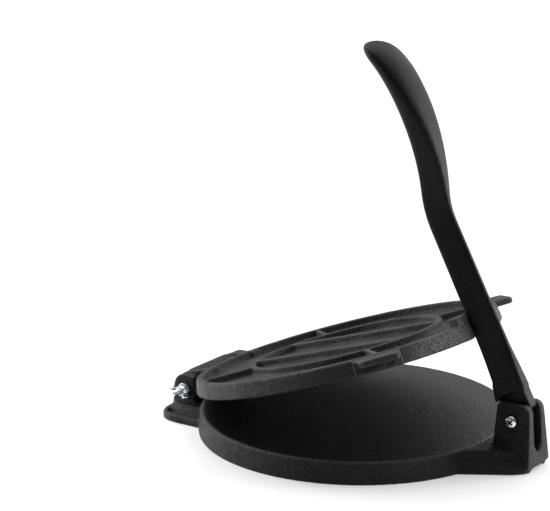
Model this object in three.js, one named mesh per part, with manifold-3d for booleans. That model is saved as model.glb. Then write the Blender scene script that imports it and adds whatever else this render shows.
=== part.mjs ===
// A cast-iron tortilla press: base, lid and lever castings held together by three bolts with wing nuts.
// Millimetres, +Z up. The origin is the centre of the base on the table. The hinge is at -X, the lever at +X.
import * as THREE from 'three';
import { mergeVertices, toCreasedNormals } from 'three/addons/utils/BufferGeometryUtils.js';
import Module from 'manifold-3d';

const wasm = await Module();
wasm.setup();

// Facets of the round shapes
const plateSides = 96;
const eyeSides = 40;
const boltSides = 20;
const cornerSteps = 5;

// Edges sharper than this are shown as edges
const creaseDegrees = 32;

// Clearances, the overlap of joined shapes and the overrun of cutting shapes
const touchGap = 0.3;
const pinClearance = 0.45;
const slotClearance = 0.6;
const restGap = 0.5;
const weld = 0.3;
const overrun = 10;

// Base plate: a disc with a flat pressing face, hollow underneath
const baseRadius = 103;
const baseHeight = 15;
const baseDraft = 0.9;
const baseEdgeRound = 2;
const baseTopThickness = 6.5;
const baseWall = 5;
const baseRingRadius = 54;
const baseRibWidth = 4;
const baseRibLift = 1.5;
const baseRibCount = 8;
const bossRadius = 11;

// Hinge flange of the base
const flangeReach = 21;
const flangeHalfWidth = 56.5;
const flangeCorner = 20;
const flangeHeight = 4.8;
const flangeEdgeRound = 1.5;
const flangeRoot = 30;
const wingBorder = 5.5;
const wingFloor = 2.4;
const deckHalfWidth = 44;
const deckHeight = 7.5;
const deckSlope = 2;

// Hinge: its axis is along Y
const hingeSetback = 11.2;
const hingeHeight = 15.4;
const knuckleRadius = 11.2;
const knuckleHalfWidth = 19.6;
const knuckleWall = 4;
const knuckleCheek = 4.2;
const armWidth = 6.8;
const armEyeRadius = 10.6;
const armHeight = 9.6;
const armRoot = 9;
const armFloor = 4.2;
const earThickness = 6.8;
const earTop = 10.6;
const earFrontCorner = 3;
const earHalfLength = 8;
const earCorner = 9;
const earToeSpread = 1.8;

// Lug of the base that carries the lever
const lugReach = 30.5;
const lugEndHalfWidth = 14.5;
const lugRootHalfWidth = 39.5;
const lugRootSetback = 11;
const lugCorner = 12;
const lugFootHeight = 4.3;
const lugFootSlope = 3.4;
const lugFootInset = 3;
const lugBodyHeight = 14.4;
const lugBodyInset = 3.4;
const lugBodySlope = 2.5;
const lugShell = 5;
const lugRoof = 4;
const lugNotchHalfWidth = 9;
const lugNotchHeight = 2.4;

// Clevis on the lug
const pivotSetback = 16.2;
const pivotHeight = 31.5;
const clevisTop = 42;
const clevisFoot = 2.6;
const clevisHalfWidth = 9.8;
const clevisFlare = 5;
const clevisFront = 11.2;
const clevisFrontLean = 2.8;
const clevisBack = 11;
const clevisBackLean = 0.9;
const clevisCorner = 6;
const slotHalfWidth = 5;
const slotFloor = 11.5;
const slotVee = 5;
const slotFloorHalfWidth = 2;

// Lid: a disc with a raised rim and ribs on its top
const lidInset = 0.6;
const lidTaper = 1.7;
const lidHeight = 10.3;
const lidEdgeRound = 1;
const lidFloor = 5.2;
const lidRimWidth = 4.5;
const lidRimFillet = 1.2;
const lidRibDrop = 0.6;
const lidRibDraft = 0.5;
const lidRingRadius = 62.5;
const lidRingWidth = 4;
const lidBarOffset = 22.5;
const lidBarWidth = 6.2;
const lidSpokeWidth = 3.2;
const lidSpokeDegrees = 45;
const lidTiltDegrees = 17.4;

// Finger tabs of the lid, near the spokes on the lever's side
const tabDegrees = 46.5;
const tabReach = 12.4;
const tabRootHalfWidth = 14.4;
const tabEndHalfWidth = 12.8;
const tabCorner = 3;
const tabDrop = 0.6;
const tabThickness = 3.8;

// Pad on the lid's rim that the lever bears on
const padHeight = 5.4;
const padWidth = 6.6;
const padInset = 0.4;
const padHalfAngle = 12;

// Saddle cut in the rim and the pad, against which the lever leans
const saddleSetback = 4.4;
const saddleHalfWidth = 9;
const saddleDegrees = 10.6;

// Lever, in its own frame: the pivot at the origin, the shaft along +Z, its back towards +X
const leverEyeRadius = 7;
const faceAtPivot = 5.3;
const faceAtBend = 4.1;
const backAtPivot = 13.2;
const backAtBend = 12.8;
const shaftHalfWidth = 6.5;
const shaftRidgeHalfWidth = 1.9;
const shoulderRidgeHalfWidth = 5.4;
const shoulderLength = 34;
const shoulderFlare = 1.5;
const shoulderGap = 0.8;
const heelReach = 2.2;
const heelLength = 9;
const tongueInset = 1;
const shaftLength = 128;
const bendLength = 21;
const bendDegrees = 20.4;
const gripLength = 106;
const gripDegrees = 39.8;
const gripHalfWidth = 16;
const gripHalfDepth = 6.9;
const gripSideEndLength = 14;
const gripBackEndLength = 34;
const gripFaceEndLength = 4;
const gripTipShare = 0.78;
const gripSwellShare = 0.85;
const shaftSquareness = 5.5;
const gripSquareness = 2.3;
const leverStations = 36;
const shaftStationShare = 0.33;
const endCrowding = 1.2;
const endStopShare = 0.998;
const leverSides = 28;

// Bolts, washers and wing nuts
const boltRadius = 2;
const boltHeadRadius = 3.8;
const boltHeadHeight = 2.6;
const boltHeadDome = 1.5;
const boltTipChamfer = 0.5;
const recessHalfLength = 2.1;
const recessHalfWidth = 0.5;
const recessDepth = 1.3;
const hingeBoltEnd = 12.6;
const leverBoltEnd = 11;
const washerRadius = 4.7;
const washerThickness = 0.9;
const nutFootRadius = 4.2;
const nutTopRadius = 3.2;
const nutHeight = 3.8;
const wingSpan = 15.5;
const wingHeight = 7.2;
const wingThickness = 1.8;
const wingRootHeight = 1;
const wingEndHeight = 3.4;
const nearNutDegrees = -24;
const farNutDegrees = -35;
const leverNutDegrees = 65;

// Places worked out from the sizes above
const hingeX = -(baseRadius + hingeSetback);
const pivotX = baseRadius + pivotSetback;
const lidRadius = baseRadius - lidInset;
const lidTopRadius = lidRadius - lidTaper;
const lidCentre = baseRadius + hingeSetback;
const lidRibTop = lidHeight - lidRibDrop;
const lidTilt = THREE.MathUtils.degToRad(lidTiltDegrees);
const saddleX = lidRadius - saddleSetback;
const saddleLean = THREE.MathUtils.degToRad(saddleDegrees);
const armInner = knuckleHalfWidth + slotClearance;
const armOuter = armInner + armWidth;
const earInner = armOuter + slotClearance;
const earOuter = earInner + earThickness;
const flangeEnd = baseRadius + flangeReach;
const lugEnd = baseRadius + lugReach;
const leverEyeHalfWidth = slotHalfWidth - slotClearance;
const leverLength = shaftLength + bendLength + gripLength;
const shoulderRadius = Math.hypot(clevisFront, clevisTop - pivotHeight) + shoulderGap;
const boltSeat = clevisHalfWidth + clevisFlare * (clevisTop - pivotHeight + boltHeadRadius) / clevisTop;
const bendAngle = THREE.MathUtils.degToRad(bendDegrees);
const gripAngle = THREE.MathUtils.degToRad(gripDegrees);

// Geometry to solid and back
function solid(geometry) {
  const bare = geometry.clone();
  bare.deleteAttribute('normal');
  bare.deleteAttribute('uv');
  const merged = mergeVertices(bare);
  return new wasm.Manifold(new wasm.Mesh({
    numProp: 3,
    vertProperties: new Float32Array(merged.attributes.position.array),
    triVerts: new Uint32Array(merged.index.array),
  }));
}

function geometryOf(body) {
  const mesh = body.getMesh();
  const geometry = new THREE.BufferGeometry();
  geometry.setAttribute('position', new THREE.BufferAttribute(new Float32Array(mesh.vertProperties), 3));
  geometry.setIndex(new THREE.BufferAttribute(new Uint32Array(mesh.triVerts), 1));
  return toCreasedNormals(geometry, THREE.MathUtils.degToRad(creaseDegrees));
}

function join(...bodies) {
  return bodies.reduce((whole, body) => whole.add(body));
}

// A block between two corners
function block(low, high) {
  const size = high.map((value, i) => value - low[i]);
  const geometry = new THREE.BoxGeometry(...size);
  geometry.translate(...low.map((value, i) => value + size[i] / 2));
  return solid(geometry);
}

// A solid of revolution about Z from [radius, z] points
function turned(profile, sides) {
  const geometry = new THREE.LatheGeometry(profile.map(([r, z]) => new THREE.Vector2(r, z)), sides);
  return solid(geometry.rotateX(Math.PI / 2));
}

// A round bar along Y between two places
function bar(radius, from, to, x, z, sides) {
  const geometry = new THREE.CylinderGeometry(radius, radius, to - from, sides);
  return solid(geometry.translate(x, (from + to) / 2, z));
}

// A flat shape in X and Y, raised from one height to another
function slab(shape, from, to) {
  const geometry = new THREE.ExtrudeGeometry(shape, {
    depth: to - from,
    bevelEnabled: false,
    curveSegments: cornerSteps,
  });
  return solid(geometry.translate(0, 0, from));
}

// The same with its upper edge sloped or rounded in
function slabWithEdge(shape, top, edge, inset, steps) {
  const geometry = new THREE.ExtrudeGeometry(shape, {
    depth: overrun + top - edge,
    bevelThickness: edge,
    bevelSize: inset,
    bevelOffset: -inset,
    bevelSegments: steps,
    curveSegments: cornerSteps,
  });
  geometry.translate(0, 0, -overrun);
  const below = block([-lugEnd, -lugEnd, -lugEnd], [lugEnd, lugEnd, 0]);
  return solid(geometry).subtract(below);
}

// A shape in X and Z, carried along Y from one place to another
function cheek(shape, from, to) {
  const geometry = new THREE.ExtrudeGeometry(shape, {
    depth: to - from,
    bevelEnabled: false,
    curveSegments: cornerSteps,
  });
  geometry.rotateX(Math.PI / 2);
  return solid(geometry.translate(0, to, 0));
}

// A closed outline through corners [x, y, radius], each rounded by its radius
function outline(corners) {
  const shape = new THREE.Shape();
  corners.forEach(([x, y, radius], i) => {
    const here = new THREE.Vector2(x, y);
    const towards = ([a, b]) => here.clone().add(new THREE.Vector2(a, b).sub(here).setLength(radius));
    const start = towards(corners.at(i - 1));
    const end = towards(corners[(i + 1) % corners.length]);
    if (i === 0) {
      shape.moveTo(start.x, start.y);
    } else {
      shape.lineTo(start.x, start.y);
    }
    if (radius > 0) {
      shape.quadraticCurveTo(x, y, end.x, end.y);
    }
  });
  shape.closePath();
  return shape;
}

// Corners of one side, then the same mirrored in Y, in order round the outline
function mirrored(corners) {
  return [...corners, ...corners.map(([x, y, radius]) => [x, -y, radius]).reverse()];
}

// A skin over rings of points, closed by a fan at each end
function loft(rings) {
  const sides = rings[0].length;
  const points = [...rings.flat(), middle(rings[0]), middle(rings.at(-1))];
  const triangles = [];
  rings.slice(1).forEach((ring, i) => {
    for (let j = 0; j < sides; j += 1) {
      const [a, b] = [i * sides + j, i * sides + (j + 1) % sides];
      triangles.push(a, a + sides, b, b, a + sides, b + sides);
    }
  });
  const last = (rings.length - 1) * sides;
  for (let j = 0; j < sides; j += 1) {
    triangles.push(rings.length * sides, j, (j + 1) % sides);
    triangles.push(rings.length * sides + 1, last + (j + 1) % sides, last + j);
  }
  const geometry = new THREE.BufferGeometry();
  const places = points.flatMap((point) => point.toArray());
  geometry.setAttribute('position', new THREE.Float32BufferAttribute(places, 3));
  geometry.setIndex(triangles);
  return solid(geometry);
}

// Corners of a level rectangle round a place on X
function levelRing(x, halfLength, halfWidth, z) {
  return [[-1, -1], [-1, 1], [1, 1], [1, -1]]
    .map(([along, across]) => new THREE.Vector3(x + along * halfLength, across * halfWidth, z));
}

function middle(ring) {
  return ring.reduce((sum, p) => sum.add(p), new THREE.Vector3()).divideScalar(ring.length);
}

function smooth(share) {
  const x = Math.min(Math.max(share, 0), 1);
  return x * x * (3 - 2 * x);
}

// Round plate of the base: drafted side, rounded top edge, ribs and a boss in the hollow underneath
function basePlate() {
  const top = [];
  for (let i = 0; i <= cornerSteps; i += 1) {
    const angle = (i / cornerSteps) * Math.PI / 2;
    top.push([
      baseRadius - baseDraft - baseEdgeRound * (1 - Math.cos(angle)),
      baseHeight - baseEdgeRound * (1 - Math.sin(angle)),
    ]);
  }
  const disc = turned([[0, 0], [baseRadius, 0], ...top, [0, baseHeight]], plateSides);
  const ceiling = baseHeight - baseTopThickness;
  const hollow = turned([
    [0, -overrun],
    [baseRadius - baseWall, -overrun],
    [baseRadius - baseWall, 0],
    [baseRadius - baseWall - baseDraft, ceiling],
    [0, ceiling],
  ], plateSides);
  const ring = turned([
    [baseRingRadius - baseRibWidth / 2, baseRibLift],
    [baseRingRadius + baseRibWidth / 2, baseRibLift],
    [baseRingRadius + baseRibWidth / 2, ceiling + weld],
    [baseRingRadius - baseRibWidth / 2, ceiling + weld],
    [baseRingRadius - baseRibWidth / 2, baseRibLift],
  ], plateSides / 2);
  const bossTop = ceiling + weld;
  const boss = turned([[0, 0], [bossRadius, 0], [bossRadius, bossTop], [0, bossTop]], eyeSides);
  const rib = block(
    [bossRadius / 2, -baseRibWidth / 2, baseRibLift],
    [baseRadius - baseWall / 2, baseRibWidth / 2, ceiling + weld],
  );
  let plate = disc.subtract(hollow).add(ring).add(boss);
  for (let i = 0; i < baseRibCount; i += 1) {
    plate = plate.add(rib.rotate([0, 0, (i + 1 / 2) * 360 / baseRibCount]));
  }
  return plate;
}

// Room inside the plate's wall, kept clear of what stands outside it
function plateCore() {
  const radius = baseRadius - baseWall / 2;
  const top = baseHeight + overrun;
  return turned([[0, -overrun], [radius, -overrun], [radius, top], [0, top]], plateSides);
}

// Flange of the base with its two recessed wings
function hingeFlange() {
  const root = -(baseRadius - flangeRoot);
  const plan = mirrored([[root, flangeHalfWidth, 0], [-flangeEnd, flangeHalfWidth, flangeCorner]]);
  const deck = mirrored([
    [root, deckHalfWidth, 0],
    [-flangeEnd + flangeEdgeRound, deckHalfWidth - deckSlope, flangeCorner / 2],
  ]);
  let flange = slabWithEdge(outline(plan), flangeHeight, flangeEdgeRound, flangeEdgeRound, 2);
  const wing = outline([
    [root, deckHalfWidth, 0],
    [root, flangeHalfWidth - wingBorder, 0],
    [-flangeEnd + wingBorder, flangeHalfWidth - wingBorder, flangeHalfWidth - wingBorder - deckHalfWidth],
    [-flangeEnd + wingBorder, deckHalfWidth, 0],
  ]);
  const pocket = slab(wing, wingFloor, wingFloor + overrun);
  flange = flange.subtract(pocket).subtract(pocket.mirror([0, 1, 0]));
  return flange.add(slabWithEdge(outline(deck), deckHeight, deckSlope, deckSlope, 1));
}

// Outer ear of the hinge, on the +Y side
function hingeEar() {
  const back = hingeX - earHalfLength;
  const front = hingeX + earHalfLength;
  const top = hingeHeight + earTop;
  const shape = outline([
    [back - earToeSpread, 0, 0],
    [back, top, earCorner],
    [front, top, earFrontCorner],
    [front + earToeSpread, 0, 0],
  ]);
  return cheek(shape, earInner, earOuter);
}

// Hollow knuckle between the two arms of the lid
function hingeKnuckle(radius, halfWidth, toes) {
  const round = bar(radius, -halfWidth, halfWidth, hingeX, hingeHeight, eyeSides);
  const legs = block([hingeX - radius, -halfWidth, toes], [hingeX + radius, halfWidth, hingeHeight]);
  return round.add(legs);
}

// Plan of the lug, drawn in by an inset
function lugPlan(inset) {
  return outline(mirrored([
    [baseRadius - lugRootSetback, lugRootHalfWidth - inset, 0],
    [lugEnd - inset, lugEndHalfWidth - inset, lugCorner - inset],
  ]));
}

// Side view of the clevis ears
function clevisSide() {
  const front = pivotX + clevisFront;
  const back = pivotX - clevisBack;
  return outline([
    [back - clevisBackLean, clevisFoot, 0],
    [front + clevisFrontLean, clevisFoot, 0],
    [front, clevisTop, clevisCorner],
    [back, clevisTop, clevisCorner / 2],
  ]);
}

// Lug with its foot, its body, the clevis ears and the hollow underneath
function lug() {
  const foot = slabWithEdge(lugPlan(0), lugFootHeight + lugFootSlope, lugFootSlope, lugFootInset, 1);
  const body = slabWithEdge(lugPlan(lugBodyInset), lugBodyHeight, lugBodySlope, lugBodySlope, 2);
  const ears = cheek(clevisSide(), -lugEnd, lugEnd).intersect(loft([
    levelRing(pivotX, lugReach, clevisHalfWidth + clevisFlare, 0),
    levelRing(pivotX, lugReach, clevisHalfWidth, clevisTop),
  ]));
  const slotEdge = outline(mirrored([
    [slotFloor, slotFloorHalfWidth, 0],
    [slotFloor + slotVee, slotHalfWidth, 0],
    [clevisTop + overrun, slotHalfWidth, 0],
  ]).map(([z, y, radius]) => [y, z, radius]));
  const slotLength = lugReach + overrun;
  const slot = solid(new THREE.ExtrudeGeometry(slotEdge, { depth: slotLength, bevelEnabled: false })
    .rotateX(Math.PI / 2)
    .rotateZ(Math.PI / 2)
    .translate(pivotX - clevisBack - clevisBackLean - weld, 0, 0));
  const hollowTop = slotFloor - lugRoof;
  const hollow = slab(lugPlan(lugShell + lugFootInset), -overrun, hollowTop);
  const notch = block(
    [pivotX, -lugNotchHalfWidth, -overrun],
    [lugEnd + overrun, lugNotchHalfWidth, lugNotchHeight],
  );
  return join(foot, body, ears).subtract(slot).subtract(hollow).subtract(notch);
}

function makeBase() {
  const cavity = hingeKnuckle(knuckleRadius - knuckleWall, knuckleHalfWidth - knuckleCheek, -overrun);
  const armSlot = block(
    [hingeX - knuckleRadius - overrun, knuckleHalfWidth, armFloor],
    [hingeX + knuckleRadius, earInner, hingeHeight + overrun * 2],
  );
  const ear = hingeEar();
  const bore = boltRadius + pinClearance;
  const hingeBore = bar(bore, -earOuter - overrun, earOuter + overrun, hingeX, hingeHeight, boltSides);
  const leverBore = bar(bore, -baseRadius, baseRadius, pivotX, pivotHeight, boltSides);
  const knuckle = hingeKnuckle(knuckleRadius, knuckleHalfWidth, 0);
  const hinge = join(hingeFlange(), ear, ear.mirror([0, 1, 0]), knuckle)
    .subtract(armSlot)
    .subtract(armSlot.mirror([0, 1, 0]))
    .subtract(cavity)
    .subtract(hingeBore);
  return hinge.add(lug().subtract(leverBore)).subtract(plateCore()).add(basePlate());
}

// Lid, in its own frame: the hinge axis at the origin, the pressing face in the plane z = 0
function lidPlate() {
  const rimInside = lidTopRadius - lidRimWidth;
  return turned([
    [0, 0],
    [lidRadius - lidEdgeRound, 0],
    [lidRadius, lidEdgeRound],
    [lidTopRadius, lidHeight - lidEdgeRound],
    [lidTopRadius - lidEdgeRound / 2, lidHeight - lidEdgeRound / 4],
    [lidTopRadius - lidEdgeRound, lidHeight],
    [rimInside + lidEdgeRound / 2, lidHeight],
    [rimInside, lidHeight - lidEdgeRound / 2],
    [rimInside - lidRibDraft, lidFloor + lidRimFillet],
    [rimInside - lidRibDraft - lidRimFillet, lidFloor],
    [0, lidFloor],
  ], plateSides);
}

// A straight rib along X with sloped sides
function straightRib(from, to, width) {
  const section = outline([
    [-width / 2 - lidRibDraft, lidFloor - weld, 0],
    [width / 2 + lidRibDraft, lidFloor - weld, 0],
    [width / 2 - lidRibDraft, lidRibTop, 0],
    [-width / 2 + lidRibDraft, lidRibTop, 0],
  ]);
  const geometry = new THREE.ExtrudeGeometry(section, { depth: to - from, bevelEnabled: false });
  return solid(geometry.rotateX(Math.PI / 2).rotateZ(Math.PI / 2).translate(from, 0, 0));
}

function lidRibs() {
  const inside = lidRingRadius - lidRingWidth / 2;
  const outside = lidRingRadius + lidRingWidth / 2;
  const ring = turned([
    [inside - lidRibDraft, lidFloor - weld],
    [outside + lidRibDraft, lidFloor - weld],
    [outside - lidRibDraft, lidRibTop],
    [inside + lidRibDraft, lidRibTop],
    [inside - lidRibDraft, lidFloor - weld],
  ], plateSides);
  const barHalf = Math.sqrt(lidRingRadius ** 2 - (lidBarOffset + lidBarWidth / 2) ** 2);
  const straight = straightRib(-barHalf, barHalf, lidBarWidth);
  const spoke = straightRib(lidRingRadius, lidTopRadius - lidRimWidth / 2, lidSpokeWidth);
  const turns = [lidSpokeDegrees, -lidSpokeDegrees, 180 - lidSpokeDegrees, 180 + lidSpokeDegrees];
  const spokes = turns.map((degrees) => spoke.rotate([0, 0, degrees]));
  const bars = [lidBarOffset, -lidBarOffset].map((offset) => straight.translate([0, offset, 0]));
  return join(ring, ...bars, ...spokes);
}

// Finger tab along +X, later turned to its place
function fingerTab() {
  const shape = outline([
    [lidTopRadius - lidRimWidth, -tabRootHalfWidth, 0],
    [lidTopRadius + tabReach, -tabEndHalfWidth, tabCorner],
    [lidTopRadius + tabReach, tabEndHalfWidth, tabCorner],
    [lidTopRadius - lidRimWidth, tabRootHalfWidth, 0],
  ]);
  const top = lidHeight - tabDrop;
  return slab(shape, top - tabThickness, top);
}

// Pad on the rim: an arc of the rim raised above the rest
function leverPad() {
  const outside = lidTopRadius - padInset;
  const inside = outside - padWidth;
  const half = THREE.MathUtils.degToRad(padHalfAngle);
  const shape = new THREE.Shape();
  shape.absarc(0, 0, outside, -half, half, false);
  shape.absarc(0, 0, inside, half, -half, true);
  shape.closePath();
  return slab(shape, lidHeight - lidEdgeRound, lidHeight + padHeight);
}

// Arms that carry the lid on the hinge bolts, on the +Y side
function hingeArm() {
  const tip = lidCentre - lidTopRadius + armRoot;
  const shape = outline([
    [armEyeRadius / 2, touchGap, 0],
    [tip, touchGap, 0],
    [tip, armHeight, 0],
    [0, armEyeRadius, 0],
  ]);
  return bar(armEyeRadius, armInner, armOuter, 0, 0, eyeSides).add(cheek(shape, armInner, armOuter));
}

function makeLid() {
  const arm = hingeArm();
  const tab = fingerTab();
  const tabs = [tabDegrees, -tabDegrees].map((degrees) => tab.rotate([0, 0, degrees]));
  const saddleTop = lidHeight + padHeight + overrun;
  const saddle = block([0, -saddleHalfWidth, -overrun], [overrun, saddleHalfWidth, saddleTop])
    .rotate([0, -saddleDegrees, 0])
    .translate([saddleX, 0, 0]);
  const bore = bar(boltRadius + pinClearance, -armOuter - overrun, armOuter + overrun, 0, 0, boltSides);
  return join(lidPlate(), lidRibs(), ...tabs, leverPad())
    .subtract(saddle)
    .translate([lidCentre, 0, 0])
    .add(arm)
    .add(arm.mirror([0, 1, 0]))
    .subtract(bore);
}

// How much the shoulder next to the clevis still widens the lever
function shoulderShare(along) {
  return 1 - smooth((along - shoulderRadius) / shoulderLength);
}

// How far the shaft's face and its back lie from the pivot's line
function shaftFace(along) {
  const taper = (faceAtBend - faceAtPivot) * Math.min(along / shaftLength, 1);
  return faceAtPivot + taper + shoulderFlare * shoulderShare(along);
}

function shaftBack(along) {
  return backAtPivot + (backAtBend - backAtPivot) * Math.min(along / shaftLength, 1);
}

// Share of the full size that is left where an end rounds over by a length
function roundedEnd(along, length) {
  const left = Math.min(Math.max((leverLength - along) / length, 0), 1);
  return Math.sqrt(1 - (1 - left) ** 2);
}

// One cross-section of the lever: narrow at the back of the shaft, an oval in the grip
function leverRing(along, place) {
  const depth = (shaftFace(along) + shaftBack(along)) / 2;
  const swell = smooth((along - shaftLength) / ((leverLength - shaftLength) * gripSwellShare));
  const blend = (shaft, grip) => shaft + (grip - shaft) * swell;
  const side = roundedEnd(along, gripSideEndLength);
  const ridge = shaftRidgeHalfWidth + (shoulderRidgeHalfWidth - shaftRidgeHalfWidth) * shoulderShare(along);
  const inner = blend(shaftHalfWidth, gripHalfWidth) * side;
  const outer = blend(ridge, gripHalfWidth) * side;
  const half = blend(depth, gripHalfDepth);
  const tip = half * gripTipShare;
  const face = tip + (half - tip) * roundedEnd(along, gripFaceEndLength);
  const back = (half + tip) * roundedEnd(along, gripBackEndLength) - tip;
  const power = 2 / blend(shaftSquareness, gripSquareness);
  const ring = [];
  for (let i = 0; i < leverSides; i += 1) {
    const angle = (i + 1 / 2) * 2 * Math.PI / leverSides;
    const across = Math.sign(Math.cos(angle)) * Math.abs(Math.cos(angle)) ** power;
    const deep = Math.sign(Math.sin(angle)) * Math.abs(Math.sin(angle)) ** power;
    const width = inner + (outer - inner) * (deep + 1) / 2;
    const out = (back - face) / 2 + deep * (back + face) / 2;
    ring.push(new THREE.Vector3(
      place.x + out * Math.cos(place.heading),
      across * width,
      place.z - out * Math.sin(place.heading),
    ));
  }
  return ring;
}

// Middle line of the lever: a straight shaft, a bend outwards and a grip that curves back in
function leverPlace(along) {
  const bendRadius = bendLength / bendAngle;
  const gripRadius = gripLength / gripAngle;
  const bent = Math.min(Math.max(along - shaftLength, 0), bendLength) / bendRadius;
  const curled = Math.max(along - shaftLength - bendLength, 0) / gripRadius;
  const curl = bendAngle - curled;
  return {
    x: (shaftBack(along) - shaftFace(along)) / 2
      + bendRadius * (1 - Math.cos(bent)) + gripRadius * (Math.cos(curl) - Math.cos(bendAngle)),
    z: Math.min(along, shaftLength)
      + bendRadius * Math.sin(bent) + gripRadius * (Math.sin(bendAngle) - Math.sin(curl)),
    heading: bent - curled,
  };
}

// Distance along the lever of a station; those of the grip draw closer together towards its end
function stationPlace(share) {
  if (share < shaftStationShare) {
    return share / shaftStationShare * shaftLength;
  }
  const beyond = (share - shaftStationShare) / (1 - shaftStationShare);
  const crowded = Math.sin(beyond * Math.PI / 2) ** endCrowding * endStopShare;
  return shaftLength + crowded * (leverLength - shaftLength);
}

// Lever with its tongue in the clevis and a heel that spreads towards the lid just above it
function makeLever() {
  const rings = [];
  for (let i = 0; i <= leverStations; i += 1) {
    const along = stationPlace(i / leverStations);
    rings.push(leverRing(along, leverPlace(along)));
  }
  const around = bar(shoulderRadius, -gripHalfWidth, gripHalfWidth, 0, 0, eyeSides)
    .add(block([0, -gripHalfWidth, 0], [backAtPivot + overrun, gripHalfWidth, shoulderRadius]));
  const eye = bar(leverEyeRadius, -leverEyeHalfWidth, leverEyeHalfWidth, 0, 0, eyeSides);
  const tongue = cheek(outline([
    [-faceAtPivot - shoulderFlare / 2, 0, 0],
    [leverEyeRadius, 0, 0],
    [backAtPivot - tongueInset, leverEyeRadius / 2, 0],
    [backAtPivot - tongueInset, shoulderRadius + tongueInset, 0],
    [-faceAtPivot - shoulderFlare / 2, shoulderRadius + tongueInset, 0],
  ]), -leverEyeHalfWidth, leverEyeHalfWidth);
  const front = -faceAtPivot - shoulderFlare;
  const heel = cheek(outline([
    [front - heelReach, 0, 0],
    [0, 0, 0],
    [0, shoulderRadius + heelLength, 0],
    [front + tongueInset / 2, shoulderRadius + heelLength, 0],
    [front - heelReach, shoulderRadius - heelReach, 0],
  ]), -shaftHalfWidth + tongueInset / 2, shaftHalfWidth - tongueInset / 2);
  const bore = bar(boltRadius + pinClearance, -gripHalfWidth, gripHalfWidth, 0, 0, boltSides);
  return join(join(loft(rings), heel).subtract(around), eye, tongue).subtract(bore);
}

// Bolt along +Y with the head's seat at the origin
function makeBolt(length) {
  const profile = [];
  for (let i = 0; i <= cornerSteps; i += 1) {
    const angle = (i / cornerSteps) * Math.PI / 2;
    profile.push([
      boltHeadRadius * Math.sin(angle),
      -boltHeadHeight + boltHeadDome * (1 - Math.cos(angle)),
    ]);
  }
  profile.push(
    [boltHeadRadius, 0],
    [boltRadius, 0],
    [boltRadius, length - boltTipChamfer],
    [boltRadius - boltTipChamfer, length],
    [0, length],
  );
  const blank = turned(profile, boltSides);
  const slot = block(
    [-recessHalfLength, -recessHalfWidth, -boltHeadHeight - overrun],
    [recessHalfLength, recessHalfWidth, -boltHeadHeight + recessDepth],
  );
  return blank.subtract(slot).subtract(slot.rotate([0, 0, 90])).rotate([-90, 0, 0]);
}

// Washer along +Y with its seat at the origin
function makeWasher() {
  const inside = boltRadius + pinClearance;
  return turned([
    [inside, 0],
    [washerRadius, 0],
    [washerRadius, washerThickness],
    [inside, washerThickness],
    [inside, 0],
  ], boltSides).rotate([-90, 0, 0]);
}

// Wing nut along +Y with its seat at the origin
function makeWingNut(degrees) {
  const hub = turned([[0, 0], [nutFootRadius, 0], [nutTopRadius, nutHeight], [0, nutHeight]], boltSides);
  const inside = nutTopRadius / 2;
  const wingShape = outline([
    [inside, wingRootHeight, 0],
    [nutFootRadius, wingRootHeight, 0],
    [wingSpan / 2, wingEndHeight, wingThickness / 2],
    [wingSpan / 2, wingHeight, wingThickness],
    [wingSpan / 2 - nutTopRadius, wingHeight, wingThickness / 2],
    [nutTopRadius, nutHeight, 0],
    [inside, nutHeight, 0],
  ]);
  const wing = cheek(wingShape, -wingThickness / 2, wingThickness / 2);
  const bore = turned([
    [0, -overrun],
    [boltRadius + touchGap, -overrun],
    [boltRadius + touchGap, overrun],
    [0, overrun],
  ], boltSides);
  return join(hub, wing, wing.rotate([0, 0, 180]))
    .subtract(bore)
    .rotate([0, 0, degrees])
    .rotate([-90, 0, 0]);
}

// Materials
function castIron(colour) {
  return new THREE.MeshStandardMaterial({ color: colour, roughness: 0.62, metalness: 0.25 });
}

function zinc() {
  return new THREE.MeshStandardMaterial({ color: 0xc9ccd0, roughness: 0.28, metalness: 1 });
}

function piece(name, body, material) {
  const mesh = new THREE.Mesh(geometryOf(body), material);
  mesh.name = name;
  return mesh;
}

// How far the shaft leans so that it just clears the corners of the tilted lid
function leverLean() {
  const rises = [0, lidHeight + padHeight].map((z) => {
    const reach = lidCentre + saddleX - z * Math.tan(saddleLean);
    const across = pivotX - (hingeX + reach * Math.cos(lidTilt) - z * Math.sin(lidTilt));
    const up = hingeHeight + reach * Math.sin(lidTilt) + z * Math.cos(lidTilt) - pivotHeight;
    const distance = Math.hypot(across, up);
    return Math.atan2(up, across) + Math.asin((shaftFace(distance) + restGap) / distance);
  });
  return Math.PI / 2 - Math.max(...rises);
}

// Washer, wing nut and bolt on one line: the face that they bear on, and the head's seat
function hingeHardware(side) {
  const seat = knuckleHalfWidth - knuckleCheek;
  const outward = new THREE.Group();
  outward.position.set(hingeX, 0, hingeHeight);
  outward.rotation.z = side < 0 ? Math.PI : 0;
  const label = side < 0 ? 'near' : 'far';
  const bolt = piece(`hinge_bolt_${label}`, makeBolt(earOuter - seat + touchGap + hingeBoltEnd), zinc());
  bolt.position.y = seat - touchGap;
  const washer = piece(`hinge_washer_${label}`, makeWasher(), zinc());
  washer.position.y = earOuter + touchGap;
  const nutDegrees = side < 0 ? nearNutDegrees : farNutDegrees;
  const nut = piece(`hinge_wing_nut_${label}`, makeWingNut(nutDegrees), zinc());
  nut.position.y = earOuter + touchGap * 2 + washerThickness;
  outward.add(bolt, washer, nut);
  return outward;
}

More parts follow.
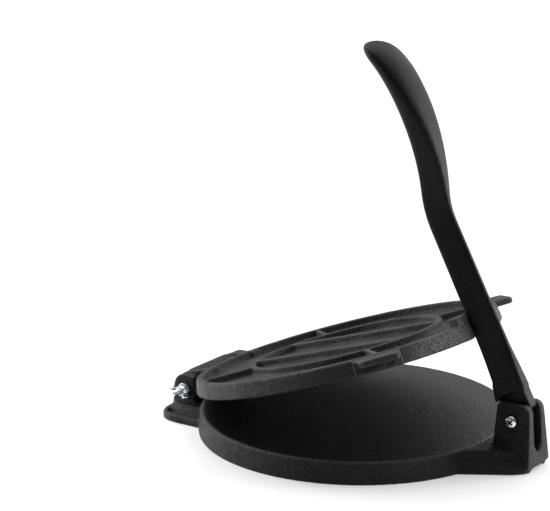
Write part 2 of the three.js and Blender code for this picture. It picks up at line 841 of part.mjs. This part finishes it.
function leverHardware() {
  const line = new THREE.Group();
  line.position.set(pivotX, 0, pivotHeight);
  const bolt = piece('lever_bolt', makeBolt(boltSeat * 2 + touchGap + leverBoltEnd), zinc());
  bolt.position.y = -boltSeat - touchGap;
  const washer = piece('lever_washer', makeWasher(), zinc());
  washer.position.y = boltSeat + touchGap;
  const nut = piece('lever_wing_nut', makeWingNut(leverNutDegrees), zinc());
  nut.position.y = boltSeat + touchGap * 2 + washerThickness;
  line.add(bolt, washer, nut);
  return line;
}

const press = new THREE.Group();
press.add(piece('base', makeBase(), castIron(0x2b2b2a)));

const lid = piece('lid', makeLid(), castIron(0x2f2f2e));
lid.position.set(hingeX, 0, hingeHeight);
lid.rotation.y = -lidTilt;
press.add(lid);

const lever = piece('lever', makeLever(), castIron(0x242424));
lever.position.set(pivotX, 0, pivotHeight);
lever.rotation.y = -leverLean();
press.add(lever);

press.add(hingeHardware(-1), hingeHardware(1), leverHardware());

export default press;
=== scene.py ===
import math

import bmesh
import bpy
from mathutils import Matrix, Vector


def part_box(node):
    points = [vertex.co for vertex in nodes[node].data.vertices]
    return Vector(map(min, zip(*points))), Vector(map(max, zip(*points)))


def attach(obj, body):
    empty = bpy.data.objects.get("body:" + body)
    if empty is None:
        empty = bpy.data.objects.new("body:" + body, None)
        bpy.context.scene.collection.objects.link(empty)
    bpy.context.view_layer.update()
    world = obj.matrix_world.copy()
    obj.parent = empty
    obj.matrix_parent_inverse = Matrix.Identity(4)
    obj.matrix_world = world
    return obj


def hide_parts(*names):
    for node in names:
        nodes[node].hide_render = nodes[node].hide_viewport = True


# Sizes are in millimetres until they are multiplied by MM
MM = 0.001
CAD_WELD = 0.002

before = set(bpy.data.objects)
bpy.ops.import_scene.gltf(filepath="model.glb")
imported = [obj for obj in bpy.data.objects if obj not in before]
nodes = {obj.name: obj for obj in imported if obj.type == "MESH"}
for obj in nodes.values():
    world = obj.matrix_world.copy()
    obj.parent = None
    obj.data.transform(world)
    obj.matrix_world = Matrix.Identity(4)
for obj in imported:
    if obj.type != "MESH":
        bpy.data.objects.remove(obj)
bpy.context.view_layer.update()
scene = bpy.context.scene


# Meshes

def add_object(name, data):
    made = bpy.data.objects.new(name, data)
    scene.collection.objects.link(made)
    return made


def smooth_shaded(made):
    for face in made.data.polygons:
        face.use_smooth = True
    return made


def copy_of(node, name):
    """A new object with the node's mesh, its split corners joined again."""
    mesh = nodes[node].data.copy()
    mesh.materials.clear()
    work = bmesh.new()
    work.from_mesh(mesh)
    bmesh.ops.remove_doubles(work, verts=work.verts, dist=CAD_WELD * MM)
    work.to_mesh(mesh)
    work.free()
    return add_object(name, mesh)


def apply_steps(made, steps):
    """Runs the object's mesh through modifiers and keeps the result as its mesh."""
    for kind, values in steps:
        modifier = made.modifiers.new(kind.lower(), kind)
        for key, value in values.items():
            setattr(modifier, key, value)
    graph = bpy.context.evaluated_depsgraph_get()
    mesh = bpy.data.meshes.new_from_object(made.evaluated_get(graph))
    made.modifiers.clear()
    made.data = mesh


def remesh(size):
    return "REMESH", {"mode": "VOXEL", "voxel_size": size * MM}


def offset(distance):
    return "DISPLACE", {"strength": distance * MM, "mid_level": 0.0}


def relax(times, **more):
    return "SMOOTH", {"factor": 0.5, "iterations": times, **more}


def thin_out(share):
    return "DECIMATE", {"ratio": share}


def wavy(texture, height):
    return "DISPLACE", {
        "texture": texture, "texture_coords": "LOCAL", "strength": height * MM, "mid_level": 0.5,
    }


def clouds(name, size, depth):
    texture = bpy.data.textures.new(name, "CLOUDS")
    texture.noise_scale = size * MM
    texture.noise_depth = depth
    return texture


skin_waves = clouds("skin_waves", 14.0, 2)
skin_grain = clouds("skin_grain", 2.6, 1)

# Smoothing draws the surface in by about this much, so it is put back
DRAWN_IN = 0.12


def casting(node, voxel, fillet, waves, faces_kept):
    """The node's shape as a sand casting.

    Its inner corners are filled round, its outer edges rubbed and its skin is a little uneven.
    """
    made = copy_of(node, node + "_casting")
    apply_steps(made, [
        remesh(voxel),
        relax(1),
        offset(fillet),
        remesh(voxel),
        offset(DRAWN_IN - fillet),
        remesh(voxel),
        relax(2),
        wavy(skin_waves, waves),
        wavy(skin_grain, waves),
        thin_out(faces_kept),
    ])
    return smooth_shaded(made)


# Materials

class Nodes:
    """A node tree built line by line."""

    def __init__(self, tree, coordinates):
        self.tree = tree
        self.place = self.node("ShaderNodeTexCoord").outputs[coordinates]

    def node(self, kind, **values):
        made = self.tree.nodes.new(kind)
        for key, value in values.items():
            if key in made.inputs:
                made.inputs[key].default_value = value
            else:
                setattr(made, key, value)
        return made

    def link(self, out, into):
        self.tree.links.new(out, into)

    def ramp(self, value, low, high, first=0.0, last=1.0, shape="LINEAR"):
        """The value's range low to high becomes first to last."""
        made = self.node("ShaderNodeMapRange", interpolation_type=shape)
        for socket, number in (
            ("From Min", low), ("From Max", high), ("To Min", first), ("To Max", last),
        ):
            made.inputs[socket].default_value = number
        self.link(value, made.inputs["Value"])
        return made.outputs["Result"]

    def math(self, operation, one, other):
        made = self.node("ShaderNodeMath", operation=operation)
        for socket, value in zip(made.inputs, (one, other)):
            if isinstance(value, float):
                socket.default_value = value
            else:
                self.link(value, socket)
        return made.outputs[0]

    def times(self, one, other):
        return self.math("MULTIPLY", one, other)

    def measure(self, operation, place, other=None):
        """A distance, length or dot product of a place and another vector."""
        made = self.node("ShaderNodeVectorMath", operation=operation)
        self.link(place, made.inputs[0])
        if other is not None:
            made.inputs[1].default_value = other
        return made.outputs["Value"]


class Shading(Nodes):
    """A material with a Principled shader. Places in it are on the object, in millimetres."""

    def __init__(self, name):
        self.material = bpy.data.materials.new(name)
        self.material.use_nodes = True
        super().__init__(self.material.node_tree, "Object")
        self.shader = self.tree.nodes["Principled BSDF"]

    def set(self, **values):
        for key, value in values.items():
            socket = self.shader.inputs[key.replace("_", " ")]
            if isinstance(value, (float, tuple)):
                socket.default_value = value
            else:
                self.link(value, socket)

    def noise(self, scale, detail, rough):
        made = self.node("ShaderNodeTexNoise", Scale=scale, Detail=detail, Roughness=rough)
        self.link(self.place, made.inputs["Vector"])
        return made.outputs["Fac"]

    def mix(self, share, one, other):
        """From one colour at share 0 to the other at share 1."""
        made = self.node("ShaderNodeMix", data_type="RGBA")
        for socket, value in ((6, one), (7, other)):
            if isinstance(value, tuple):
                made.inputs[socket].default_value = (*value, 1.0)
            else:
                self.link(value, made.inputs[socket])
        self.link(share, made.inputs[0])
        return made.outputs[2]

    def bump(self, height, depth, under=None):
        made = self.node("ShaderNodeBump", Strength=1.0, Distance=depth * MM)
        self.link(height, made.inputs["Height"])
        if under is not None:
            self.link(under, made.inputs["Normal"])
        return made.outputs["Normal"]

    def patch(self, centre, full, end):
        """1 near a place, 0 beyond the outer distance."""
        away = self.measure("DISTANCE", self.place, [value * MM for value in centre])
        return self.ramp(away, full * MM, end * MM, 1.0, 0.0)

    def seam(self, centre, across):
        """1 on a short thin line through a place, at right angles to a direction."""
        along = self.measure("DOT_PRODUCT", self.place, across)
        level = sum(a * b for a, b in zip(centre, across)) * MM
        away = self.math("ABSOLUTE", self.math("SUBTRACT", along, level), 0.0)
        line = self.ramp(away, 0.16 * MM, 0.5 * MM, 1.0, 0.0)
        return self.times(line, self.patch(centre, 5.5, 7.0))

    def ring(self, inside, outside, foot):
        """1 on a ring round the Z axis between two radii, above a height."""
        flat = self.node("ShaderNodeVectorMath", operation="MULTIPLY")
        self.link(self.place, flat.inputs[0])
        flat.inputs[1].default_value = (1.0, 1.0, 0.0)
        radius = self.measure("LENGTH", flat.outputs["Vector"])
        parts = self.node("ShaderNodeSeparateXYZ")
        self.link(self.place, parts.inputs[0])
        soft = 0.4 * MM
        inner = self.ramp(radius, inside * MM - soft, inside * MM + soft)
        outer = self.ramp(radius, outside * MM - soft, outside * MM + soft, 1.0, 0.0)
        above = self.ramp(parts.outputs["Z"], foot * MM - soft, foot * MM + soft)
        return self.times(self.times(inner, outer), above)


# A near-black for painted shade, and greys for rubbed edges with painted highlights, for painted
# highlights on the rim and seams, and for wear with painted light
PAINTED_SHADE_BLACK = (0.0006, 0.0006, 0.0006)
EDGE_WEAR_AND_HIGHLIGHT_GREY = (0.105, 0.104, 0.102)
RIM_HIGHLIGHT_GREY = (0.060, 0.060, 0.058)
SEAM_HIGHLIGHT_GREY = (0.13, 0.13, 0.128)
WEAR_AND_LIGHT_GREY = (0.112, 0.111, 0.109)
# In painted shade patches the roughness is this much less, and the grain makes it vary by this much
# to each side
SHADE_PATCH_GLOSS = 0.16
ROUGHNESS_SWING = 0.085


def cast_iron(name, dark, light, speck, dull, shine, grain, edge_wear_and_highlight,
              worn_and_lit=None, shade_patches=(), rim=None, seams=()):
    """Seasoned cast iron: near-black and mottled, with sand grain in relief and rubbed edges that
    also carry painted highlights.

    Speck is the grey of the bare grains in it. It may have a wear patch with painted light, patches
    of painted shade that are less rough, a round edge that is rubbed all along and painted lighter
    as a highlight, and casting seams painted lighter as highlights.
    """
    m = Shading(name)
    mottle = m.noise(45.0, 4.0, 0.6)
    sand = m.noise(520.0, 3.0, 0.75)
    fine = m.noise(1250.0, 2.0, 0.6)
    cloudy = m.math("ADD", mottle, m.times(sand, 0.8))
    skin = m.mix(m.ramp(cloudy, 0.72, 1.1), dark, light)
    grains = m.math("ADD", fine, m.times(sand, 0.5))
    skin = m.mix(m.ramp(grains, 0.80, 0.94), skin, (speck,) * 3)
    swing = ROUGHNESS_SWING * grain
    rough = m.ramp(m.math("ADD", sand, mottle), 0.75, 1.25, dull + swing, dull - swing)
    # Patches of painted shade: near-black, and less rough
    for place in shade_patches:
        shade_share = m.patch(*place)
        skin = m.mix(shade_share, skin, PAINTED_SHADE_BLACK)
        rough = m.math("SUBTRACT", rough, m.times(shade_share, SHADE_PATCH_GLOSS))
    # Convex edges are rubbed lighter, and the same grey is a painted highlight on them
    edge = m.node("ShaderNodeNewGeometry").outputs["Pointiness"]
    uneven = m.ramp(m.noise(190.0, 3.0, 0.6), 0.3, 0.6, 0.3, 1.0)
    rubbed = m.times(m.ramp(edge, 0.518, 0.565), uneven)
    skin = m.mix(m.times(rubbed, edge_wear_and_highlight), skin, EDGE_WEAR_AND_HIGHLIGHT_GREY)
    # A painted highlight line along the rubbed round rim
    if rim is not None:
        skin = m.mix(m.times(m.ring(*rim), m.ramp(sand, 0.35, 0.65, 0.2, 0.8)), skin, RIM_HIGHLIGHT_GREY)
    # Painted highlight lines along the casting seams
    for place, across in seams:
        broken = m.ramp(sand, 0.3, 0.55, 0.2, 1.0)
        skin = m.mix(m.times(m.seam(place, across), broken), skin, SEAM_HIGHLIGHT_GREY)
    # A wear patch, also painted lighter as light from the right
    if worn_and_lit is not None:
        specks = m.ramp(m.math("ADD", fine, m.times(sand, 0.35)), 0.56, 0.80)
        skin = m.mix(m.times(m.patch(*worn_and_lit), specks), skin, WEAR_AND_LIGHT_GREY)
    wide = m.bump(m.noise(130.0, 3.0, 0.55), 0.4 * grain)
    middle = m.bump(sand, 0.85 * grain, wide)
    m.set(
        Base_Color=skin,
        Metallic=0.0,
        Roughness=rough,
        Specular_IOR_Level=shine,
        Normal=m.bump(fine, 0.3 * grain, middle),
    )
    return m.material


def zinc_plate(name):
    """Bright zinc plate with a faint brushed grain and duller spots."""
    m = Shading(name)
    spots = m.ramp(m.noise(320.0, 3.0, 0.6), 0.35, 0.7)
    m.set(
        Base_Color=m.mix(spots, (0.88, 0.89, 0.91), (0.68, 0.69, 0.72)),
        Metallic=1.0,
        Roughness=m.ramp(m.noise(900.0, 3.0, 0.6), 0.3, 0.7, 0.18, 0.34),
        Normal=m.bump(m.noise(1500.0, 2.0, 0.6), 0.03),
    )
    return m.material


def recess_grime_and_shade(name):
    """Dark grease and dirt, with painted shade, in the recess of a screw's head."""
    m = Shading(name)
    spots = m.ramp(m.noise(1200.0, 3.0, 0.6), 0.35, 0.7)
    m.set(Base_Color=m.mix(spots, (0.010, 0.010, 0.011), (0.045, 0.045, 0.047)), Roughness=0.5)
    return m.material


# Patches: a place, and the radii where the wear with painted light, or the painted shade, is full
# and where it ends
# Wear on the lid near the lever, painted lighter as light from the right too
LID_WEAR_AND_PAINTED_LIGHT = ((86.0, -37.0, 79.0), 17.0, 31.0)
# Painted shade on the lid's side by the near finger tab
LID_PAINTED_SHADE = ((45.0, -93.0, 68.0), 34.0, 56.0)
# Painted shade in the wing pockets of the hinge flanges
WING_POCKET_PAINTED_SHADE = (((-112.0, -48.5, 3.0), 7.0, 13.0), ((-112.0, 48.5, 3.0), 7.0, 13.0))

# The rubbed edge round the pressing plate, painted lighter as a highlight line: its two radii and
# the height it starts at
BASE_RIM_HIGHLIGHT = (100.9, 102.0, 13.2)

# The lid as it stands open in the photograph, and how far up its side the seams have their middle
HINGE_X, HINGE_Z = -114.2, 15.4
LID_RADIUS = 101.6
LID_TILT = math.radians(17.4)
SEAM_RISE = 5.0


def lid_seam(degrees):
    """The middle of a seam at an angle round the lid's side, and the direction across it."""
    angle = math.radians(degrees)
    reach = LID_RADIUS * math.cos(angle) - HINGE_X
    place = (
        HINGE_X + reach * math.cos(LID_TILT) - SEAM_RISE * math.sin(LID_TILT),
        LID_RADIUS * math.sin(angle),
        HINGE_Z + reach * math.sin(LID_TILT) + SEAM_RISE * math.cos(LID_TILT),
    )
    across = (
        -math.sin(angle) * math.cos(LID_TILT),
        math.cos(angle),
        -math.sin(angle) * math.sin(LID_TILT),
    )
    return place, across


# A seam with a painted highlight line runs down the lid's side at each end of the near finger tab,
# at these angles round the lid
TAB_ENDS = (-54.9, -38.0)

base_iron = cast_iron(
    "cast_iron_base", dark=(0.0014, 0.0014, 0.0014), light=(0.0060, 0.0060, 0.0058), speck=0.022,
    dull=0.50, shine=0.27, grain=1.3, edge_wear_and_highlight=0.7, shade_patches=WING_POCKET_PAINTED_SHADE, rim=BASE_RIM_HIGHLIGHT,
)
lid_iron = cast_iron(
    "cast_iron_lid", dark=(0.0020, 0.0020, 0.0020), light=(0.0120, 0.0120, 0.0118), speck=0.034,
    dull=0.52, shine=0.36, grain=1.3, edge_wear_and_highlight=0.8,
    worn_and_lit=LID_WEAR_AND_PAINTED_LIGHT, shade_patches=(LID_PAINTED_SHADE,), seams=[lid_seam(degrees) for degrees in TAB_ENDS],
)
plate_iron = cast_iron(
    "cast_iron_plate", dark=(0.0004, 0.0004, 0.0004), light=(0.0012, 0.0012, 0.0011), speck=0.004,
    dull=0.32, shine=0.60, grain=0.6, edge_wear_and_highlight=0.2, rim=BASE_RIM_HIGHLIGHT,
)
lever_iron = cast_iron(
    "cast_iron_lever", dark=(0.0018, 0.0018, 0.0016), light=(0.0036, 0.0036, 0.0033), speck=0.006,
    dull=0.43, shine=0.17, grain=0.5, edge_wear_and_highlight=0.4,
)
zinc = zinc_plate("zinc_plate")
grime_and_shade = recess_grime_and_shade("screw_recess")

# Castings

base = casting("base", voxel=0.58, fillet=0.6, waves=0.10, faces_kept=0.20)
lid = casting("lid", voxel=0.5, fillet=0.5, waves=0.12, faces_kept=0.17)
lever = casting("lever", voxel=0.6, fillet=0.8, waves=0.05, faces_kept=0.5)
base.data.materials.append(base_iron)
lid.data.materials.append(lid_iron)
lever.data.materials.append(lever_iron)

# Hands have rubbed the grip of the lever round: it grows smoother between these two heights
GRIP_FROM, GRIP_FULL = 150.0, 185.0
grip = lever.vertex_groups.new(name="grip")
for vertex in lever.data.vertices:
    share = (vertex.co.z / MM - GRIP_FROM) / (GRIP_FULL - GRIP_FROM)
    if share > 0.0:
        grip.add([vertex.index], min(share, 1.0), "REPLACE")
apply_steps(lever, [relax(14, vertex_group="grip")])
lever.vertex_groups.clear()

for piece, body in ((base, "base"), (lid, "lid"), (lever, "lever")):
    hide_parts(body)
    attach(piece, body)

# The pressing face of the base is smoother than the rest, out to its rounded edge
PLATE_FACE, PLATE_INNER, PLATE_OUTER = 15.0, 96.0, 100.6
base.data.materials.append(plate_iron)
for face in base.data.polygons:
    radius = face.center.xy.length / MM
    off = abs(face.center.z / MM - PLATE_FACE)
    at_edge = radius < PLATE_OUTER and off < 0.4 and face.normal.z > 0.95
    if at_edge or radius < PLATE_INNER and off < 1.0:
        face.material_index = 1

# Hardware

TURNS = 48
SHANK_RADIUS = 2.0
HEAD_RADIUS, HEAD_HEIGHT = 3.8, 2.6
DOME_HEIGHT, DOME_STEPS, DOME_FLAT = 1.5, 10, 0.08
PITCH, THREAD_LENGTH, THREAD_DEPTH, STEPS_A_PITCH = 0.7, 12.0, 0.32, 8
TIP_CHAMFER = 0.5

# The cross recess: its depth, its turn from upright, and rings of depth, half length, half width
RECESS_DEPTH = 1.7
RECESS_TURN = math.radians(38.0)
RECESS_RINGS = ((-2.0, 3.0, 0.80), (0.0, 2.5, 0.70), (RECESS_DEPTH, 1.0, 0.42))

WASHER_BORE, WASHER_SOFT = 2.3, 0.14


def along_y(node):
    """Where a turned node's axis is, and its two ends along Y, in millimetres."""
    low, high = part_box(node)
    return (low.x + high.x) / 2 / MM, (low.z + high.z) / 2 / MM, low.y / MM, high.y / MM


def rings_object(name, rings, hollow=False):
    """An object from rings of points. Two end faces close it, or a hollow one joins end to end."""
    work = bmesh.new()
    loops = [[work.verts.new(point) for point in ring] for ring in rings]
    following = loops[1:] + loops[:1] if hollow else loops[1:]
    for one, other in zip(loops, following):
        for k in range(len(one)):
            after = (k + 1) % len(one)
            work.faces.new((one[k], one[after], other[after], other[k]))
    if not hollow:
        work.faces.new(loops[0][::-1])
        work.faces.new(loops[-1])
    bmesh.ops.recalc_face_normals(work, faces=work.faces)
    mesh = bpy.data.meshes.new(name)
    work.to_mesh(mesh)
    work.free()
    return add_object(name, mesh)


def lathe(name, rings, hollow=False):
    """A turned body. A ring is how far along the axis, and a radius or a function of the angle."""
    points = []
    for place, radius in rings:
        ring = []
        for step in range(TURNS):
            angle = 2 * math.pi * step / TURNS
            r = radius(angle) if callable(radius) else radius
            ring.append((r * math.cos(angle) * MM, place * MM, r * math.sin(angle) * MM))
        points.append(ring)
    return smooth_shaded(rings_object(name, points, hollow))


def thread_radius(place, start, end):
    """The radius round a ring of the thread, which fades in at the shank and out at the tip."""
    depth = THREAD_DEPTH * min(1.0, (place - start) / PITCH, (end - place) / (0.6 * PITCH))

    def radius(angle):
        share = (place / PITCH - angle / (2 * math.pi)) % 1.0
        return SHANK_RADIUS - max(0.0, depth) * abs(2 * share - 1)

    return radius


def cross_cutter():
    """A tapered cross, standing along Y from above the head's top into it."""
    rings = []
    for y, long, short in RECESS_RINGS:
        corner = [(long, short), (short, short), (short, long)]
        rings.append([
            ((x * a - z * b) * MM, y * MM, (x * b + z * a) * MM)
            for a, b in ((1, 0), (0, 1), (-1, 0), (0, -1)) for x, z in corner
        ])
    made = rings_object("cross_cutter", rings)
    # The recess is dark with grime and painted shade
    made.data.materials.append(grime_and_shade)
    made.data.transform(Matrix.Rotation(RECESS_TURN, 4, "Y"))
    return made


def make_bolt(node, facing):
    """A pan-head screw with a cross recess. It points along facing, 1 or -1, times Y."""
    x, z, low, high = along_y(node)
    head, tip = HEAD_HEIGHT, high - low
    start, end = tip - THREAD_LENGTH, tip - TIP_CHAMFER
    rings = []
    for k in range(DOME_STEPS + 1):
        angle = math.pi / 2 * (DOME_FLAT + (1 - DOME_FLAT) * k / DOME_STEPS)
        rings.append((DOME_HEIGHT * (1 - math.cos(angle)), HEAD_RADIUS * math.sin(angle)))
    # The head's lower edge, the small fillet under it, and the shank down to the thread
    rings += [
        (head - 0.25, HEAD_RADIUS), (head - 0.08, HEAD_RADIUS - 0.07), (head, HEAD_RADIUS - 0.22),
        (head, SHANK_RADIUS + 0.2), (head + 0.15, SHANK_RADIUS + 0.03), (head + 0.4, SHANK_RADIUS),
        (start, SHANK_RADIUS),
    ]
    count = round((end - start) / PITCH * STEPS_A_PITCH)
    for k in range(1, count):
        place = start + (end - start) * k / count
        rings.append((place, thread_radius(place, start, end)))
    rings += [
        (end, SHANK_RADIUS - 0.02), (tip - 0.12, SHANK_RADIUS - 0.42), (tip, SHANK_RADIUS - 0.62),
    ]
    made = lathe(node + "_screw", rings)
    made.data.materials.append(zinc)
    cutter = cross_cutter()
    apply_steps(made, [("BOOLEAN", {
        "object": cutter, "operation": "DIFFERENCE", "solver": "EXACT", "material_mode": "TRANSFER",
    })])
    bpy.data.objects.remove(cutter)
    turn = Matrix.Identity(4) if facing > 0 else Matrix.Rotation(math.pi, 4, "Z")
    origin = Vector((x, low if facing > 0 else high, z)) * MM
    made.data.transform(Matrix.Translation(origin) @ turn)
    return made


def make_washer(node):
    x, z, low, high = along_y(node)
    thick = high - low
    inner, outer, soft = WASHER_BORE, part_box(node)[1].z / MM - z, WASHER_SOFT
    made = lathe(node + "_ring", [
        (soft, inner), (0.0, inner + soft),
        (0.0, outer - 2.2 * soft), (0.5 * soft, outer - 0.8 * soft), (1.8 * soft, outer),
        (thick - 1.8 * soft, outer), (thick - 0.5 * soft, outer - 0.8 * soft),
        (thick, outer - 2.2 * soft), (thick, inner + soft), (thick - soft, inner),
    ], hollow=True)
    made.data.transform(Matrix.Translation(Vector((x, low, z)) * MM))
    made.data.materials.append(zinc)
    return made


def make_wing_nut(node):
    made = copy_of(node, node + "_casting")
    voxel, fillet = 0.2, 0.7
    apply_steps(made, [
        remesh(voxel), relax(3), offset(fillet), remesh(voxel), offset(-fillet), remesh(voxel),
        relax(8), thin_out(0.45),
    ])
    made.data.materials.append(zinc)
    return smooth_shaded(made)


def finish_hardware(made, node):
    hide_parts(node)
    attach(made, "base")


for node, facing in (("lever_bolt", 1), ("hinge_bolt_near", -1), ("hinge_bolt_far", 1)):
    finish_hardware(make_bolt(node, facing), node)
for node in ("lever_washer", "hinge_washer_near", "hinge_washer_far"):
    finish_hardware(make_washer(node), node)
for node in ("lever_wing_nut", "hinge_wing_nut_near", "hinge_wing_nut_far"):
    finish_hardware(make_wing_nut(node), node)

# Camera

AZIMUTH, ELEVATION, DISTANCE = math.radians(33.81), math.radians(14.34), 1221.32 * MM
TARGET = Vector((-43.9, -29.4, 117.6)) * MM

# Directions level with the floor: to the right of the picture, and to the camera's side
RIGHT = Vector((math.cos(AZIMUTH), math.sin(AZIMUTH), 0.0))
FRONT = Vector((math.sin(AZIMUTH), -math.cos(AZIMUTH), 0.0))
UP = Vector((0.0, 0.0, 1.0))

# From the object to the camera
BACK = Vector((
    math.sin(AZIMUTH) * math.cos(ELEVATION),
    -math.cos(AZIMUTH) * math.cos(ELEVATION),
    math.sin(ELEVATION),
))

lens = bpy.data.cameras.new("camera")
lens.sensor_width = 36.0
lens.lens = 124.4
lens.clip_start, lens.clip_end = 0.05, 60.0
camera = add_object("camera", lens)
camera.location = TARGET + BACK * DISTANCE
camera.rotation_euler = (-BACK).to_track_quat("-Z", "Y").to_euler()
scene.camera = camera
scene.view_settings.view_transform = "Standard"

# Floor and light

FLOOR_HALF = 12.0

# The floor's own white for camera and glossy rays near the press and far away, and where these are
FLOOR_LIFT_NEAR, FLOOR_LIFT_FAR = 0.33, 0.83
FLOOR_NEAR, FLOOR_FAR = 0.5, 1.8

ROOM_LIGHT = 0.01

# Windows in the room: turn from the camera's side to the right, rise, the angles from the middle
# at which the light ends and is full, and the light
WINDOWS = (
    (90.0, 12.0, 45.0, 10.0, 0.57),
    (270.0, 12.0, 45.0, 10.0, 0.31),
    (135.0, 40.0, 45.0, 10.0, 1.25),
    (180.0, 40.0, 45.0, 10.0, 0.20),
    (225.0, 40.0, 45.0, 10.0, 1.80),
    (45.0, 68.0, 40.0, 8.0, 0.57),
    (225.0, 68.0, 40.0, 8.0, 0.64),
    (0.0, 90.0, 40.0, 5.0, 0.57),
)


def make_floor():
    """A white floor that keeps the press's shadow and goes over into the white background."""
    half = FLOOR_HALF
    mesh = bpy.data.meshes.new("floor")
    corners = [(-half, -half, 0), (half, -half, 0), (half, half, 0), (-half, half, 0)]
    mesh.from_pydata(corners, [], [(0, 1, 2, 3)])
    floor = add_object("floor", mesh)
    m = Shading("floor_white")
    rays = m.node("ShaderNodeLightPath").outputs
    seen = m.math("MAXIMUM", rays["Is Camera Ray"], rays["Is Glossy Ray"])
    away = m.measure("LENGTH", m.place)
    lift = m.ramp(away, FLOOR_NEAR, FLOOR_FAR, FLOOR_LIFT_NEAR, FLOOR_LIFT_FAR)
    m.set(
        Base_Color=(0.80, 0.80, 0.80, 1.0),
        Roughness=0.16,
        Specular_IOR_Level=0.35,
        Emission_Color=(1.0, 1.0, 1.0, 1.0),
        Emission_Strength=m.times(seen, lift),
    )
    floor.data.materials.append(m.material)


def make_world():
    """White for camera and transmission rays, and otherwise a dim room with soft windows.

    The brightest windows are high up behind the press, to the left and to the right.
    """
    world = bpy.data.worlds.new("studio")
    scene.world = world
    world.use_nodes = True
    m = Nodes(world.node_tree, "Generated")
    strength = ROOM_LIGHT
    for turn, rise, outer, inner, light in WINDOWS:
        turn, rise = math.radians(turn), math.radians(rise)
        level = RIGHT * math.sin(turn) + FRONT * math.cos(turn)
        towards = m.measure("DOT_PRODUCT", m.place, level * math.cos(rise) + UP * math.sin(rise))
        ends, full = math.cos(math.radians(outer)), math.cos(math.radians(inner))
        window = m.ramp(towards, ends, full, 0.0, light, "SMOOTHSTEP")
        strength = m.math("ADD", strength, window)
    rays = m.node("ShaderNodeLightPath").outputs
    white = m.node("ShaderNodeMix", data_type="FLOAT")
    m.link(m.math("MAXIMUM", rays["Is Camera Ray"], rays["Is Transmission Ray"]), white.inputs[0])
    m.link(strength, white.inputs[2])
    white.inputs[3].default_value = 1.0
    background = world.node_tree.nodes["Background"]
    background.inputs["Color"].default_value = (1.0, 1.0, 1.0, 1.0)
    m.link(white.outputs[0], background.inputs["Strength"])


def add_lamp(name, right, front, up, aim, size, watts):
    """A soft panel at a place in metres from the press, turned to an aim in the frame."""
    light = bpy.data.lights.new(name, "AREA")
    light.shape = "RECTANGLE"
    light.size, light.size_y = size
    light.energy = watts
    lamp = add_object(name, light)
    lamp.location = RIGHT * right + FRONT * front + UP * up
    lamp.rotation_euler = (Vector(aim) - lamp.location).to_track_quat("-Z", "Y").to_euler()


make_floor()
make_world()
add_lamp("left_panel", right=-0.80, front=-0.35, up=0.35,
         aim=(0.0, 0.0, 0.05), size=(0.40, 0.40), watts=3.7)
add_lamp("right_panel", right=0.75, front=-0.10, up=0.25,
         aim=(0.05, 0.0, 0.08), size=(0.35, 0.40), watts=3.8)
add_lamp("back_panel", right=0.55, front=-0.80, up=0.40,
         aim=(0.0, 0.0, 0.08), size=(0.50, 0.40), watts=0.8)

bpy.context.view_layer.update()
